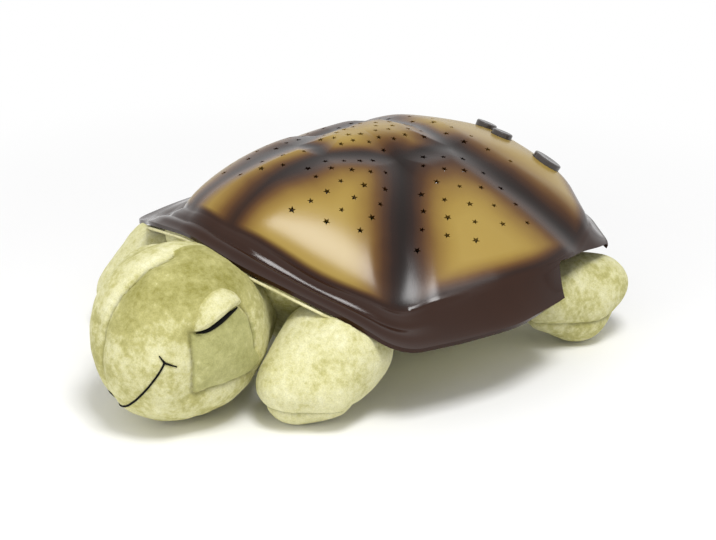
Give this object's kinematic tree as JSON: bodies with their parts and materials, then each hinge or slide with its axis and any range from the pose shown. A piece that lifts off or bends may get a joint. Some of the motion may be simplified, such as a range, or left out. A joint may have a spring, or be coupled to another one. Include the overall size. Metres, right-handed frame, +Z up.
{
  "type": "turtle night light projector",
  "caption": "Plush turtle night light with a hard glossy star-pierced shell, push buttons on its back and a battery bay in its belly.",
  "frame": {"origin": "on the table, under the middle of the object's bounding box", "axes": "+X towards the turtle's left side, -Y towards its head, +Z up"},
  "size_m": [0.276, 0.3484, 0.119],
  "materials": {
    "shell_plastic": "glossy moulded, painted tortoiseshell",
    "plush": "crushed velour",
    "button_plastic": "satin",
    "tray_plastic": "fine matt texture",
    "screw_steel": "zinc plated",
    "contact_steel": "nickel plated",
    "cell_jacket": "satin",
    "board_laminate": "satin solder mask",
    "component_black": "satin",
    "amber_lens": "clear tinted",
    "green_lens": "clear tinted",
    "blue_lens": "clear tinted",
    "lead_insulation": "satin"
  },
  "bodies": {
    "turtle": {"shell": "shell_plastic", "base_tray": "tray_plastic", "shell_screws": "screw_steel", "batteries": "cell_jacket", "battery_springs": "contact_steel", "battery_contacts": "contact_steel", "circuit_board": "board_laminate", "board_screws": "screw_steel", "chips": "component_black", "led_amber": "amber_lens", "led_green": "green_lens", "led_blue": "blue_lens", "led_holder": "component_black", "small_button_guide": "tray_plastic", "power_button_guide": "tray_plastic", "small_button_board": "board_laminate", "power_button_board": "board_laminate", "button_switches": "component_black", "guide_screws": "screw_steel", "battery_leads": "lead_insulation", "button_leads": "lead_insulation", "belly": "plush", "head": "plush", "eyelid_left": "plush", "eyelid_right": "plush", "foot_front_left": "plush", "foot_front_right": "plush", "foot_rear_left": "plush", "foot_rear_right": "plush", "tail": "plush"},
    "colour_button": {"button_colour": "button_plastic"},
    "timer_button": {"button_timer": "button_plastic"},
    "power_button": {"button_power": "button_plastic"},
    "battery_cover": {"battery_door": "tray_plastic", "door_screws": "screw_steel"}
  },
  "joints": [
    {"name": "colour_button_press", "type": "slide", "parent": "turtle", "child": "colour_button", "axis": [-0.1115, -0.3863, -0.9156], "range_m": [0, 0.0012], "stiffness_N_per_m": 150},
    {"name": "timer_button_press", "type": "slide", "parent": "turtle", "child": "timer_button", "axis": [-0.1115, -0.3863, -0.9156], "range_m": [0, 0.0012], "stiffness_N_per_m": 150},
    {"name": "power_button_press", "type": "slide", "parent": "turtle", "child": "power_button", "axis": [-0.2717, -0.4797, -0.8343], "range_m": [0, 0.0012], "stiffness_N_per_m": 150},
    {"name": "battery_cover_lift_off", "type": "slide", "parent": "turtle", "child": "battery_cover", "axis": [0, 0, -1], "range_m": [0, 0.02]}
  ]
}
